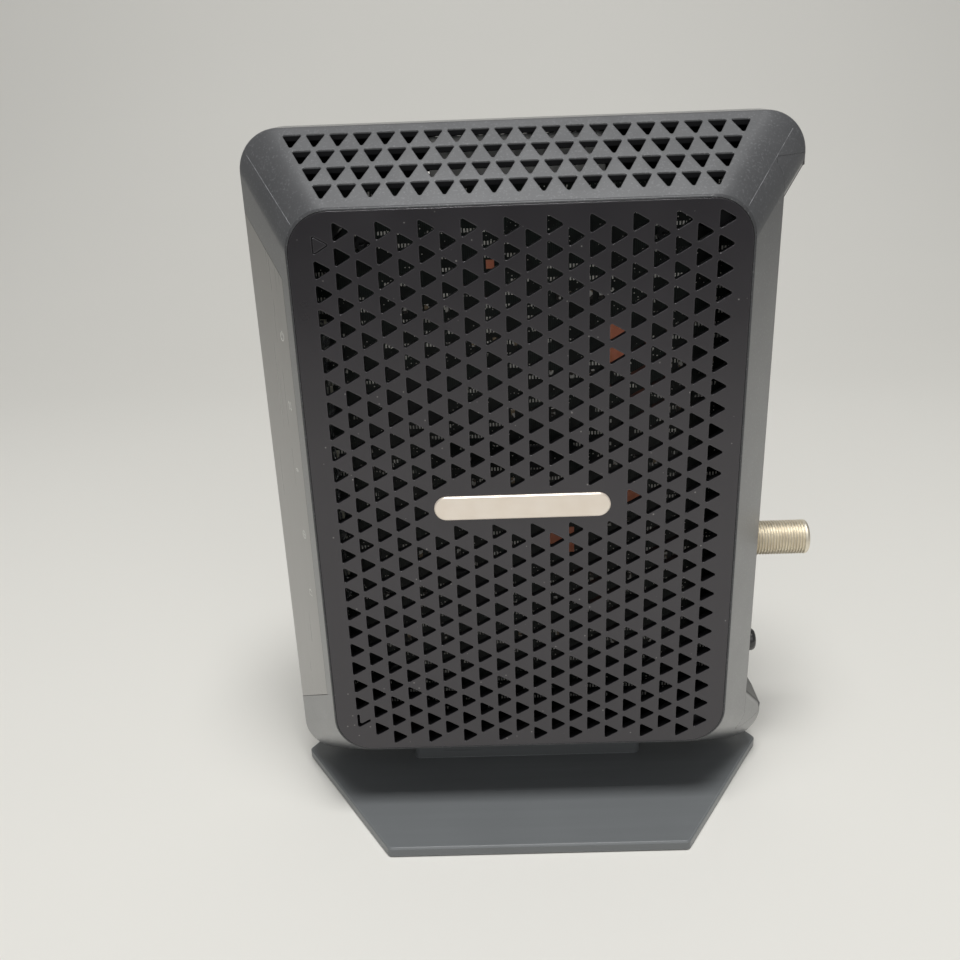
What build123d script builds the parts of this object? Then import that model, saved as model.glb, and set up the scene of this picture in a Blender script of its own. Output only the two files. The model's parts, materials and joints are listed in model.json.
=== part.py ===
from build123d import *
import os
from math import sqrt

# Free-standing cable modem on a flat stand, in millimetres.
# Origin: centre of the footprint, on the surface that the rubber feet rest on. +Z is up.
# -Y is the broad face with the badge, -X the narrow edge with the light window and +X the
# narrow edge with the sockets.

os.makedirs("parts", exist_ok=True)

# ---------------------------------------------------------------- driving dimensions
pitch = 5.5                      # spacing of the ventilation holes
row_step = pitch * sqrt(3) / 2   # spacing of neighbouring rows in the triangular grid

# Housing: widest at a flat ridge band, bevelled down to a smaller face on each broad side
ridge_width = 134.7
ridge_height = 176.5
ridge_radius = 9.9
ridge_half_band = 5.2
ridge_round = 1.2
rim_round = 0.5
face_width = 104.7
face_height = 143.7
face_radius = 9.8
face_y = 28.3
face_x = -1.4
body_z = 95.05
wall = 1.6
seam_gap = 0.05
baffle_y = (5.0, 6.2)            # ribs that hang inside the top, one on each side of the heatsink
baffle_x = (-60.0, 58.0)
baffle_z = 167.0
baffle_gap = 1.2

# Perforated panels, each let into its broad face
panel_thickness = 1.9
panel_lip = 0.35
panel_gap = 0.1
panel_seat = 1.6
seat_clearance = 0.1
seat_thickness = 1.5
hole_side = 4.6
hole_radius = 0.42
hole_columns = range(-10, 10)
slot_row = 23                    # nearly filled hole at the low end of the first column
slot_width = 0.7
hole_rows = 25
grid_x = 1.18
grid_z = 93.2

# Badge: a plain bar on the solid band of the near panel
badge_x = -2.1
badge_z = 94.5
badge_length = 43.4
badge_height = 6.2
badge_raise = 0.7
badge_margin = 1.8

# Top vents, cut straight down through both top bevels
vent_side = 5.0
vent_radius = 0.5
vent_x = -1.28
vent_rows = ((23.05, 17), (18.3, 18), (13.5, 19), (8.77, 20))

# Light window on the -X edge, a flush insert with slanted ends
window_half_width = 24.6
window_inner = (38.8, 151.5)
window_outer = (25.6, 164.5)
window_gap = 0.1
window_depth = 3.6
light_z = (68.2, 85.1, 102.3, 119.8, 137.1)
light_width = 3.2

# Socket plate on the +X edge: a recess between two lips
port_face_x = 60.1
port_half_width = 15.4
port_thickness = 2.0
port_z = (16.7, 173.5)
port_floor_z = (30.0, 164.0)
port_lip_z = (18.8, 170.8)
port_side_gap = 0.04
port_end_gap = 0.04
ramp_edge = (0.6, 1.3)           # chamfer along each ramp: on the ramp, and on the bevel

# Main board, standing on edge behind the near panel
board_near_y = -8.1
board_thickness = 1.6
board_x = (-52.0, 57.5)
board_z = (21.5, 169.5)
board_far_y = board_near_y + board_thickness

# Sockets and keys on the +X edge: heights above the desk
coax_z = 70.3
coax_radius = 4.7625
coax_tip_x = 77.9
coax_neck_x = 61.4               # the thread starts here, outside a slightly smaller neck
coax_neck_radius = 4.4
coax_bore_radius = 3.5
coax_hole_radius = 0.75
coax_block_half = 7.2
coax_block_x = (46.0, 57.9)
coax_block_top_y = 6.6
ethernet_z = 98.0
jack_x = (39.0, 60.5)
jack_half_height = 8.0
jack_top_y = 7.0
jack_sheet = 0.5
plug_x = 47.0                    # back wall of the network plug's cavity
plug_steps = ((-4.2, 3.0, 5.95), (2.9, 4.2, 3.2), (4.1, 5.4, 1.7))  # near y, far y, half height
wire_count = 8
wire_step = 1.02
wire_half = 0.23
inlet_z = 53.5
inlet_x = (46.0, 57.8)
inlet_half_height = 4.6
inlet_top_y = 5.0
inlet_nose_radius = 3.95
inlet_bore_radius = 3.1
inlet_pin_radius = 1.0
key_z = 37.5
key_radius = 3.25
key_tip_x = 65.7
key_flange_x = 55.2
key_flange_margin = 0.9
key_stem_radius = 1.2
key_dome = 1.3
switch_x = (44.0, 52.5)
switch_half_height = 4.2
switch_top_y = 3.6
reset_z = 119.0
reset_y = -3.0
reset_radius = 1.2
reset_hole_radius = 0.9
reset_switch_x = (49.0, 55.0)
reset_half_height = 3.0
moving_gap = 0.3

# Stand
plate_top = 3.0
plate_bottom = 0.4
plate_half_length = 68.2
plate_half_width = 44.15
plate_flat_half = 40.0
plate_corner = 1.6
neck_x = (-35.5, 32.3)
neck_half_width = 6.2
neck_top = 12.0
foot_radius = 4.5
foot_depth = 0.7
foot_spots = ((-36.0, -33.0), (36.0, -33.0), (-36.0, 33.0), (36.0, 33.0), (0.0, 0.0))

# Screws
column_radius = 3.4
thread_overlap = 0.02            # a screw is held by its hole, with this much to spare
head_clearance = 0.2
case_screw_radius = 1.45
case_screw_x = (-47.3, 44.5)
case_screw_z = (28.9, 161.2)
case_head_y = 12.0
case_screw_tip_y = -7.0
board_screw_radius = 1.4
board_screw_depth = 8.5
rib_half = 1.2
board_screw_spots = ((-38.0, 36.0), (34.7, 36.0), (-38.0, 156.5), (34.7, 156.5))
stand_screw_x = (-21.0, 21.0)
stand_screw_y = 3.1
stand_screw_radius = 1.4
stand_boss_radius = 2.9
stand_boss_height = 10.0
stand_head_depth = 2.6
screw_head_radius = 2.7
screw_clearance = 0.1
recess_width = 0.6
recess_depth = 0.9

# Heatsink behind the processor, on the far side of the board
sink_x = (-22.0, 20.0)
sink_z = (88.0, 179.9)
sink_base = 2.0
sink_fin_tip_y = 6.5
fin_count = 9
chip_height = 1.5
pad_height = 0.8
fin_thickness = 1.2
sink_pin_spots = ((-13.8, 104.0), (12.2, 142.0))
sink_pin_radius = 1.5
sink_pin_hole_radius = 2.4
processor_x = (-13.5, 11.5)
processor_z = (110.0, 135.0)
pad_inset = 1.5

# Parts on the board: middle (x, z), then width and height, on the near side
copper_spots = ((-8.2, 150.3, 2.0, 2.1), (23.1, 129.6, 5.5, 10.1),
                (28.2, 88.0, 6.0, 5.0), (8.75, 75.4, 7.1, 7.4))
copper_thickness = 0.12
near_chip_spots = ((-28.0, 118.0, 14.0, 14.0), (2.0, 100.0, 9.0, 6.0), (-16.0, 62.0, 8.0, 10.0),
                   (30.0, 55.0, 7.0, 5.0), (-34.0, 84.0, 6.0, 5.0))
near_chip_height = 1.0
small_part_step = 2.6
small_part_size = (1.0, 0.8, 2.0)    # width, height off the board, length
small_part_rows = ((-40.0, 60.0, 6), (-20.0, 93.0, 7), (6.0, 122.0, 6), (-30.0, 140.0, 5), (14.0, 64.0, 6),
                   (36.0, 112.0, 4), (-6.0, 47.0, 9), (20.0, 44.0, 8), (-30.0, 72.5, 5), (20.0, 98.0, 7),
                   (-4.0, 112.0, 5), (-44.0, 98.0, 4), (8.0, 142.0, 7), (-16.0, 131.0, 6), (34.0, 70.0, 5),
                   (-10.0, 84.0, 6), (16.0, 80.5, 5), (-40.0, 46.5, 7), (4.0, 57.0, 5), (36.0, 124.0, 5))

# The same on the far side
memory_spots = ((-36.0, 122.0, 9.0, 13.0), (-36.0, 104.0, 9.0, 13.0))
memory_height = 1.2
flash_spots = ((-36.0, 80.0, 8.0, 6.0),)
flash_height = 1.8
transformer_spots = ((30.0, 98.0, 12.0, 16.0),)
transformer_height = 6.0
capacitor_spots = ((38.0, 48.5), (26.0, 40.5), (14.0, 42.0), (-12.0, 70.0))
capacitor_radius = 4.0
capacitor_height = 11.5
inductor_spots = ((2.0, 46.0), (-12.0, 46.0), (-26.0, 60.0))
inductor_side = 7.0
inductor_height = 4.0
crystal_spots = ((-36.0, 70.5, 5.0, 9.0),)
crystal_height = 3.4
tuner_x = (12.0, 45.6)
tuner_z = (54.0, 86.0)
tuner_top_y = 2.0
tuner_sheet = 0.6
tuner_lid = (0.3, 0.4)               # overhang and thickness


# ---------------------------------------------------------------- small helpers
def block(x0, x1, y0, y1, z0, z1):
    """Box given by its limits."""
    centre = Location(((x0 + x1) / 2, (y0 + y1) / 2, (z0 + z1) / 2))
    return centre * Box(abs(x1 - x0), abs(y1 - y0), abs(z1 - z0))


def rod(start, end, radius, axis):
    """Cylinder along a row axis, from start to end; the other two places are the start's."""
    length = end[axis] - start[axis]
    directions = ((1, 0, 0), (0, 1, 0), (0, 0, 1))
    way = Vector(directions[axis]) * (1 if length > 0 else -1)
    return extrude(Plane(origin=start, z_dir=way) * Circle(radius), amount=abs(length))


def rod_x(x0, x1, y, z, radius):
    return rod((x0, y, z), (x1, y, z), radius, 0)


def rod_y(x, y0, y1, z, radius):
    return rod((x, y0, z), (x, y1, z), radius, 1)


def rod_z(x, y, z0, z1, radius):
    return rod((x, y, z0), (x, y, z1), radius, 2)


def broad_plane(x, y, z):
    """Plane facing -Y whose local x is +X and local y is +Z."""
    return Plane(origin=(x, y, z), x_dir=(1, 0, 0), z_dir=(0, -1, 0))


def side_profile(points, y0, y1):
    """Solid with a closed outline in X and Z, running from y0 to y1."""
    face = broad_plane(0, y1, 0) * Polygon(*points, align=None)
    return extrude(face, amount=y1 - y0)


def edge_profile(points, x0, x1):
    """Solid with a closed outline in Y and Z, running from x0 to x1."""
    plane = Plane(origin=(x0, 0, 0), x_dir=(0, 1, 0), z_dir=(1, 0, 0))
    return extrude(plane * Polygon(*points, align=None), amount=x1 - x0)


def plan_profile(points, z0, z1):
    """Solid with a closed outline in X and Y, running from z0 to z1."""
    return extrude(Plane.XY.offset(z0) * Polygon(*points, align=None), amount=z1 - z0)


def save(solid, name):
    """Write one sub-part; several separate solids go in as one group."""
    solid.label = name
    export_step(solid, f"parts/{name}.step")


def group(solids):
    """Separate solids in one node."""
    pieces = []
    for item in solids:
        pieces.extend(item.solids())
    return Compound(children=pieces)


# ---------------------------------------------------------------- housing envelope
def ridge_outline(y, inset):
    plane = broad_plane(0, y, body_z)
    shape = RectangleRounded(ridge_width - 2 * inset, ridge_height - 2 * inset, ridge_radius - inset)
    return plane * shape


def face_outline(y, inset):
    plane = broad_plane(face_x, y, body_z)
    shape = RectangleRounded(face_width - 2 * inset, face_height - 2 * inset, face_radius - inset)
    return plane * shape


def envelope(inset):
    """The whole outer form, or a smaller one inside it: ridge band and two bevelled halves."""
    band = extrude(ridge_outline(ridge_half_band, inset), amount=2 * ridge_half_band)
    near = loft([ridge_outline(-ridge_half_band, inset), face_outline(-face_y, inset)], ruled=True)
    far = loft([ridge_outline(ridge_half_band, inset), face_outline(face_y, inset)], ruled=True)
    return band + near + far


def outline_edges(solid, y):
    """The closed loop of edges that lies in the plane at y."""
    found = []
    for edge in solid.edges():
        box = edge.bounding_box()
        if abs(box.min.Y - y) < 0.001 and abs(box.max.Y - y) < 0.001:
            found.append(edge)
    return found


def outer_form():
    """The envelope with its ridge and its rims slightly rounded."""
    form = envelope(0)
    for y, radius in ((ridge_half_band, ridge_round), (face_y, rim_round)):
        for side in (-1, 1):
            form = fillet(outline_edges(form, side * y), radius)
    return form


def window_outline(grow):
    """Elongated outline of the light window in Y and Z, grown by a margin."""
    half = window_half_width + grow
    band = ridge_half_band
    top_in = window_inner[1] + grow
    top_out = window_outer[1] + grow
    low_in = window_inner[0] - grow
    low_out = window_outer[0] - grow
    return [(-half, low_in), (-band, low_out), (band, low_out), (half, low_in),
            (half, top_in), (band, top_out), (-band, top_out), (-half, top_in)]


def port_cut():
    """The recess along the +X edge, open across the whole thickness."""
    beyond = ridge_width / 2 + 5
    rise_low = (beyond - port_face_x) * (port_floor_z[0] - port_lip_z[0]) / (ridge_width / 2 - port_face_x)
    rise_top = (beyond - port_face_x) * (port_lip_z[1] - port_floor_z[1]) / (ridge_width / 2 - port_face_x)
    points = [(port_face_x, port_floor_z[0]), (beyond, port_floor_z[0] - rise_low),
              (beyond, port_floor_z[1] + rise_top), (port_face_x, port_floor_z[1])]
    return side_profile(points, -face_y - 1, face_y + 1)


def triangle(side, radius, turn):
    """Equilateral triangle with rounded corners, one corner pointing at the given angle."""
    plain = RegularPolygon(side / sqrt(3), 3, rotation=turn)
    return fillet(plain.vertices(), radius)


def top_vents():
    """Rows of triangular slots cut straight down through both top bevels."""
    cutters = []
    for distance, count in vent_rows:
        for side in (-1, 1):
            shape = triangle(vent_side, vent_radius, 90 * side)
            for index in range(count):
                x = vent_x + (index - (count - 1) / 2) * pitch
                place = Location((x, side * distance, body_z + 50))
                cutters.append(extrude(place * shape, amount=60))
    return cutters


def seat_ring(side):
    """Inward ledge that a panel rests on, with the space inside it."""
    outer = side * seat_y
    inner = outer - side * seat_thickness
    start = max(outer, inner)
    solid = extrude(face_outline(start, panel_lip - 0.5), amount=seat_thickness)
    hole = extrude(face_outline(start, panel_seat), amount=seat_thickness)
    return solid - hole


def columns_at(spots, y0, y1, radius):
    return [rod_y(x, y0, y1, z, radius) for x, z in spots]


case_spots = [(x, z) for x in case_screw_x for z in case_screw_z]
seat_y = face_y - panel_thickness - seat_clearance


def make_shells():
    """Two half housings that meet at the ridge."""
    body = outer_form() - envelope(wall)
    for side in (-1, 1):
        start = -seat_y if side < 0 else face_y + 1
        pocket = extrude(face_outline(start, panel_lip), amount=face_y + 1 - seat_y)
        body -= pocket
    body -= top_vents()
    body -= port_cut()
    body -= edge_profile(window_outline(0), -ridge_width / 2 - 1, -ridge_width / 2 + 20)
    opening = port_half_width + port_side_gap
    low = port_z[0] - port_end_gap
    high = port_z[1] + port_end_gap
    body -= block(port_face_x - port_thickness - 0.1, ridge_width / 2 + 1, -opening, opening, low, high)
    limit = envelope(wall / 2)

    near = body & block(-80, 80, -40, -seam_gap, 0, 200)
    near += seat_ring(-1) & limit
    for column in columns_at(case_spots, -seat_y, -seam_gap, column_radius):
        near += column
    near -= columns_at(case_spots, case_screw_tip_y - 5, 0, case_screw_radius + thread_overlap)

    far = body & block(-80, 80, seam_gap, 40, 0, 200)
    far += seat_ring(1) & limit
    for column in columns_at(case_spots, seam_gap, seat_y, column_radius):
        far += column
    far -= columns_at(case_spots, 0, seat_y, case_screw_radius + screw_clearance)
    far -= columns_at(case_spots, case_head_y, seat_y + 1, screw_head_radius + head_clearance)
    for x, z in board_screw_spots:
        side = 1 if z > body_z else -1
        ring_z = body_z + side * (face_height / 2 - panel_seat + 1.0)
        far += block(x - rib_half, x + rib_half, board_far_y + 4, seat_y, z, ring_z)
        far += rod_y(x, board_far_y, seat_y, z, column_radius)
        far -= rod_y(x, board_far_y - 1, board_far_y + 8, z, board_screw_radius + thread_overlap)
    for x0, x1 in ((baffle_x[0], sink_x[0] - baffle_gap), (sink_x[1] + baffle_gap, baffle_x[1])):
        far += block(x0, x1, *baffle_y, baffle_z, body_z + ridge_height / 2) & limit
    floor_z = body_z - ridge_height / 2
    for x in stand_screw_x:
        far += rod_z(x, stand_screw_y, floor_z + 1, floor_z + stand_boss_height, stand_boss_radius)
        far -= rod_z(x, stand_screw_y, floor_z - 1, floor_z + stand_boss_height - 1,
                     stand_screw_radius + thread_overlap)
    return near, far


# ---------------------------------------------------------------- panels and badge
def hole_centres():
    """Grid of hole centres as (column, row, x, z), odd columns shifted half a pitch."""
    middle = (hole_rows - 1) / 2
    for column in hole_columns:
        shift = 0.5 if column % 2 else 0
        for row in range(hole_rows):
            x = grid_x + column * row_step
            z = grid_z + (middle - row + shift) * pitch
            yield column, row, x, z


def near_badge(x, z):
    reach_x = badge_length / 2 + badge_margin
    reach_z = badge_height / 2 + badge_margin + 0.6
    return abs(x - badge_x) < reach_x and abs(z - badge_z) < reach_z


def panel_blank(wires):
    """Rounded plate in the panel's own plane, pierced by the given outlines."""
    inset = panel_lip + panel_gap
    outline = RectangleRounded(face_width - 2 * inset, face_height - 2 * inset, face_radius - inset)
    return extrude(Face(outline.wire(), wires), amount=panel_thickness)


def make_panel(with_badge):
    """Perforated panel; the near one keeps a solid band under its badge and has some holes blanked."""
    template = triangle(hole_side, hole_radius, 0).wire()
    wires = []
    for column, row, x, z in hole_centres():
        if column == hole_columns[0] and row in (0, hole_rows - 1):
            continue
        if with_badge and column == hole_columns[0] and row == slot_row:
            continue
        if with_badge and near_badge(x, z):
            continue
        wires.append(template.moved(Location((x - face_x, z - body_z, 0))))
    return panel_blank(wires)


def make_near_panel():
    """The near panel: one hole of its first column is only a groove, another only a bent slot."""
    plate = make_panel(True)
    mark = extrude(triangle(hole_side, hole_radius, 0), amount=panel_thickness)
    inner = extrude(triangle(hole_side - 1.0, hole_radius / 2, 0), amount=panel_thickness)
    rise = slot_width * sqrt(3)
    for column, row, x, z in hole_centres():
        if column != hole_columns[0]:
            continue
        place = Location((x - face_x, z - body_z, 0))
        if row == 0:
            plate -= Location((0, 0, panel_thickness - 0.3)) * place * (mark - inner)
        if row == slot_row:
            plate -= place * (mark - Location((slot_width, rise, 0)) * mark)
    return broad_plane(face_x, -face_y + panel_thickness, body_z).location * plate


def make_far_panel():
    plate = make_panel(False)
    return broad_plane(face_x, face_y, body_z).location * plate


def make_badge():
    """Plain bar with rounded ends and a softened rim."""
    plane = broad_plane(badge_x, -face_y, badge_z)
    bar = extrude(plane * SlotOverall(badge_length, badge_height), amount=badge_raise)
    front = bar.faces().sort_by(Axis.Y)[0]
    return chamfer(front.edges(), 0.25)


# ---------------------------------------------------------------- window and light guide
def make_window():
    """Flush insert following the ridge and both bevels, with a flange behind the wall."""
    inner = envelope(window_depth)
    reach = (-ridge_width / 2 - 1, -ridge_width / 2 + 18)
    skin = (outer_form() - inner) & edge_profile(window_outline(-window_gap), *reach)
    flange = (envelope(wall + 0.05) - inner) & edge_profile(window_outline(1.5), *reach)
    return skin + (flange & block(-80, 0, -seat_y + 1.6, seat_y - 1.6, 0, 200))


def make_light_guide():
    """Clear bar with one arm for each indicator, from its light to the window."""
    guide = block(-51.2, -49.2, -16.0, -13.5, light_z[0] - 2, light_z[-1] + 2)
    arm = [(-51.6, -9.5), (-48.8, -9.5), (-48.8, -14.0), (-50.6, -21.9), (-53.0, -20.6), (-51.6, -14.0)]
    for z in light_z:
        guide += plan_profile(arm, z - light_width / 2, z + light_width / 2)
    return guide


def make_lights():
    """Surface-mounted lights along the board's -X edge."""
    return group([block(-51.0, -49.4, board_near_y - 1.1, board_near_y, z - 1.0, z + 1.0) for z in light_z])


# ---------------------------------------------------------------- socket plate
def ramp_cutter(floor_z, crest_z, side):
    """Wedge that bevels the slanting edge between a ramp and the housing's own bevel."""
    foot = Vector(port_face_x, side * port_half_width, floor_z)
    crest = Vector(ridge_width / 2, side * ridge_half_band, crest_z)
    along = (crest - foot).normalized()
    inward = Vector(0, -side, 0)
    inward = (inward - along * inward.dot(along)).normalized()
    away = Vector(0, 0, 1 if crest_z > floor_z else -1)
    away = (away - along * away.dot(along)).normalized()
    middle = (foot + crest) * 0.5
    on_ramp = middle + inward * ramp_edge[0]
    on_bevel = middle + away * ramp_edge[1]
    normal = along.cross(on_bevel - on_ramp).normalized()
    if normal.dot(middle - on_ramp) < 0:
        normal = normal * -1
    plane = Plane(origin=(on_ramp + on_bevel) * 0.5, x_dir=along, z_dir=normal)
    length = (crest - foot).length
    return plane.location * Box(length, 4, 2, align=(Align.CENTER, Align.CENTER, Align.MIN))


def make_port_plate():
    """Plate with a sunk floor and a ramp up to a lip at each end, held by a flange inside."""
    lip_x = ridge_width / 2
    t = port_thickness
    outer = [(lip_x + 1, port_z[0]), (lip_x + 1, port_lip_z[0] - 1.55), (lip_x, port_lip_z[0]),
             (port_face_x, port_floor_z[0]), (port_face_x, port_floor_z[1]),
             (lip_x, port_lip_z[1]), (lip_x + 1, port_lip_z[1] + 0.94), (lip_x + 1, port_z[1])]
    inner = [(lip_x - t, port_z[1]), (lip_x - t, port_lip_z[1] + 1.1),
             (port_face_x - t, port_floor_z[1] + 1.1), (port_face_x - t, port_floor_z[0] - 1.1),
             (lip_x - t, port_lip_z[0] - 1.1), (lip_x - t, port_z[0])]
    form = outer_form()
    plate = side_profile(outer + inner, -port_half_width, port_half_width) & form
    back = [(port_face_x - t, port_z[1]), (port_face_x - t, port_z[0])]
    skin = side_profile(outer + back, -port_half_width, port_half_width) & (form - envelope(wall))
    for piece in skin.solids():
        plate += piece
    for floor_z, crest_z in zip(port_floor_z, port_lip_z):
        for side in (-1, 1):
            plate -= ramp_cutter(floor_z, crest_z, side)
    low = port_floor_z[0] + 4
    high = port_floor_z[1] - 4
    flange_x = port_face_x - 5.2
    limit = envelope(wall + 0.1)
    for side in (-1, 1):
        web = block(flange_x, port_face_x - 1, side * 13.8, side * 15.3, low, high)
        flange = block(flange_x, flange_x + 1.1, side * 13.8, side * 17.4, low, high)
        plate += web
        plate += flange & limit
    plate -= rod_x(50, 65, 0, coax_z, coax_radius + 0.2)
    plate -= rod_x(50, 65, 0, key_z, key_radius + moving_gap)
    plate -= rod_x(50, 65, 0, inlet_z, inlet_nose_radius + 0.15)
    plate -= rod_x(50, 65, reset_y, reset_z, reset_hole_radius)
    opening = jack_half_height + 0.1
    plate -= block(50, 65, board_far_y - 0.1, jack_top_y + 0.1, ethernet_z - opening, ethernet_z + opening)
    return plate


def make_coax_shell():
    """Die-cast block on the board with the threaded barrel that a coaxial plug screws onto."""
    low = coax_z - coax_block_half
    shell = block(*coax_block_x, board_far_y, coax_block_top_y, low, coax_z + coax_block_half)
    barrel = rod_x(coax_neck_x, coax_tip_x, 0, coax_z, coax_radius)
    barrel = chamfer(barrel.faces().sort_by(Axis.X)[-1].edges(), 0.5)
    shell += barrel + rod_x(57.0, coax_neck_x + 1, 0, coax_z, coax_neck_radius)
    shell -= rod_x(60.0, coax_tip_x + 1, 0, coax_z, coax_bore_radius)
    return shell


def make_coax_insulator():
    core = rod_x(60.0, coax_tip_x - 0.6, 0, coax_z, coax_bore_radius - 0.02)
    return core - rod_x(64.0, coax_tip_x + 1, 0, coax_z, coax_hole_radius)


def make_coax_contact():
    """Sprung centre sleeve, just behind the insulator's small hole."""
    sleeve = rod_x(64.0, coax_tip_x - 1.2, 0, coax_z, coax_hole_radius - 0.01)
    return sleeve - rod_x(66.0, coax_tip_x, 0, coax_z, 0.45)


def make_tuner_shield():
    """Metal can over the tuner, with a lid that stands a little outside its walls."""
    sheet = tuner_sheet
    lip, lid_thickness = tuner_lid
    can = block(*tuner_x, board_far_y, tuner_top_y, *tuner_z)
    can -= block(tuner_x[0] + sheet, tuner_x[1] - sheet, board_far_y - 1, tuner_top_y - sheet,
                 tuner_z[0] + sheet, tuner_z[1] - sheet)
    return can + block(tuner_x[0] - lip, tuner_x[1] + lip, tuner_top_y, tuner_top_y + lid_thickness,
                       tuner_z[0] - lip, tuner_z[1] + lip)


def make_jack_shell():
    """Metal shield of the network socket, open at the front."""
    sheet = jack_sheet
    low = ethernet_z - jack_half_height
    high = ethernet_z + jack_half_height
    shell = block(*jack_x, board_far_y, jack_top_y, low, high)
    return shell - block(jack_x[0] + sheet, jack_x[1] + 0.5, board_far_y + sheet, jack_top_y - sheet,
                         low + sheet, high - sheet)


def make_jack_insert():
    """Moulded body of the network socket with the plug's cavity and its latch slot."""
    shy = jack_sheet + 0.1
    reach = jack_half_height - shy
    insert = block(jack_x[0] + shy + 0.1, jack_x[1] - 0.3, board_far_y + shy, jack_top_y - shy,
                   ethernet_z - reach, ethernet_z + reach)
    for near_y, far_y, half in plug_steps:
        insert -= block(plug_x, jack_x[1] + 0.5, near_y, far_y, ethernet_z - half, ethernet_z + half)
    return insert


def make_jack_contacts():
    """Eight sprung wires on the cavity's wall, slanting away from the mouth."""
    wires = []
    for index in range(wire_count):
        z = ethernet_z + (index - (wire_count - 1) / 2) * wire_step
        slope = [(48.0, -4.15), (57.5, -4.15), (57.5, -3.85), (50.0, -2.4), (48.0, -2.4)]
        wires.append(plan_profile(slope, z - wire_half, z + wire_half))
    return group(wires)


def make_inlet():
    """Barrel power socket; its round nose passes through the socket plate."""
    half = inlet_half_height
    body = block(*inlet_x, board_far_y, inlet_top_y, inlet_z - half, inlet_z + half)
    body += rod_x(57.0, port_face_x + 0.2, 0, inlet_z, inlet_nose_radius)
    body -= rod_x(50.5, 62.0, 0, inlet_z, inlet_bore_radius)
    return body - rod_x(48.0, 51.0, 0, inlet_z, inlet_pin_radius)


def make_inlet_pin():
    pin = rod_x(48.0, 59.0, 0, inlet_z, inlet_pin_radius)
    return fillet(pin.faces().sort_by(Axis.X)[-1].edges(), 0.45)


def make_power_switch():
    """Push switch on the board with a bore for the key's stem."""
    half = switch_half_height
    body = block(*switch_x, board_far_y, switch_top_y, key_z - half, key_z + half)
    return body - rod_x(46.0, 53.0, 0, key_z, key_stem_radius + moving_gap)


def make_power_button():
    """Round key with a domed end, a retaining flange and a stem into its switch."""
    cap = rod_x(key_flange_x, key_tip_x, 0, key_z, key_radius)
    cap = fillet(cap.faces().sort_by(Axis.X)[-1].edges(), key_dome)
    cap += rod_x(key_flange_x, key_flange_x + 1.2, 0, key_z, key_radius + key_flange_margin)
    return cap + rod_x(49.0, 56.0, 0, key_z, key_stem_radius)


def make_reset_switch():
    """Small switch with a bore for the reset plunger."""
    half = reset_half_height
    body = block(*reset_switch_x, board_far_y, 0.4, reset_z - half, reset_z + half)
    return body - rod_x(51.5, 56.0, reset_y, reset_z, reset_radius + moving_gap)


def make_reset_plunger():
    """Pin behind the small hole in the socket plate."""
    pin = rod_x(52.3, 56.6, reset_y, reset_z, reset_radius)
    return fillet(pin.faces().sort_by(Axis.X)[-1].edges(), 0.3)


# ---------------------------------------------------------------- board and its parts
def make_board():
    """Printed board with screw holes and clearances for the case columns."""
    board = block(*board_x, board_near_y, board_far_y, *board_z)
    board = fillet(board.edges().filter_by(Axis.Y), 2.0)
    board -= columns_at(case_spots, board_near_y - 1, board_far_y + 1, column_radius + 0.5)
    board -= columns_at(board_screw_spots, board_near_y - 1, board_far_y + 1,
                        board_screw_radius + screw_clearance)
    return board


def make_copper_pads():
    """Bare copper cooling patches on the near side of the board."""
    return packages(copper_spots, board_near_y, -copper_thickness)


def packages(spots, y, height):
    """Flat packages given as (x, z, width, height in Z); a negative height grows towards -Y."""
    return group([block(x - w / 2, x + w / 2, y, y + height, z - h / 2, z + h / 2) for x, z, w, h in spots])


def make_near_chips():
    return packages(near_chip_spots, board_near_y, -near_chip_height)


def make_passives():
    """Small surface-mounted parts in short rows on the near side of the board."""
    width, height, length = small_part_size
    spots = []
    for x, z, count in small_part_rows:
        for index in range(count):
            spots.append((x + width / 2 + index * small_part_step, z, width, length))
    return packages(spots, board_near_y, -height)


def make_processor():
    return block(*processor_x, board_far_y, board_far_y + chip_height, *processor_z)


def make_thermal_pad():
    """Soft pad between the processor and the heatsink, inside the processor's outline."""
    low = board_far_y + chip_height
    return block(processor_x[0] + pad_inset, processor_x[1] - pad_inset, low, low + pad_height,
                 processor_z[0] + pad_inset, processor_z[1] - pad_inset)


def make_heatsink():
    """Aluminium plate with upright fins, taller than the board."""
    base_y = board_far_y + chip_height + pad_height
    base = block(*sink_x, base_y, base_y + sink_base, *sink_z)
    width = sink_x[1] - sink_x[0]
    for index in range(fin_count):
        x = sink_x[0] + index * (width - fin_thickness) / (fin_count - 1)
        base += block(x, x + fin_thickness, base_y + 1, sink_fin_tip_y, *sink_z)
    for x, z in sink_pin_spots:
        base -= rod_y(x, base_y - 1, 8, z, sink_pin_hole_radius)
    return base


def make_sink_pins():
    """Push pins that hold the heatsink to the board."""
    top = board_far_y + chip_height + pad_height + sink_base
    return group([rod_y(x, board_far_y, top + 2.5, z, sink_pin_radius) for x, z in sink_pin_spots])


def make_memory():
    return packages(memory_spots, board_far_y, memory_height)


def make_flash():
    return packages(flash_spots, board_far_y, flash_height)


def make_transformer():
    return packages(transformer_spots, board_far_y, transformer_height)


def make_capacitors():
    """Upright cans with a rounded top."""
    cans = []
    for x, z in capacitor_spots:
        can = rod_y(x, board_far_y, board_far_y + capacitor_height, z, capacitor_radius)
        can = fillet(can.faces().sort_by(Axis.Y)[-1].edges(), 0.6)
        cans.append(can)
    return group(cans)


def make_inductors():
    """Square ferrite blocks with rounded upright edges."""
    half = inductor_side / 2
    coils = []
    for x, z in inductor_spots:
        coil = block(x - half, x + half, board_far_y, board_far_y + inductor_height, z - half, z + half)
        coils.append(fillet(coil.edges().filter_by(Axis.Y), 0.9))
    return group(coils)


def make_crystal():
    can = packages(crystal_spots, board_far_y, crystal_height).solids()[0]
    return fillet(can.edges().filter_by(Axis.Y), 1.6)


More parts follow.
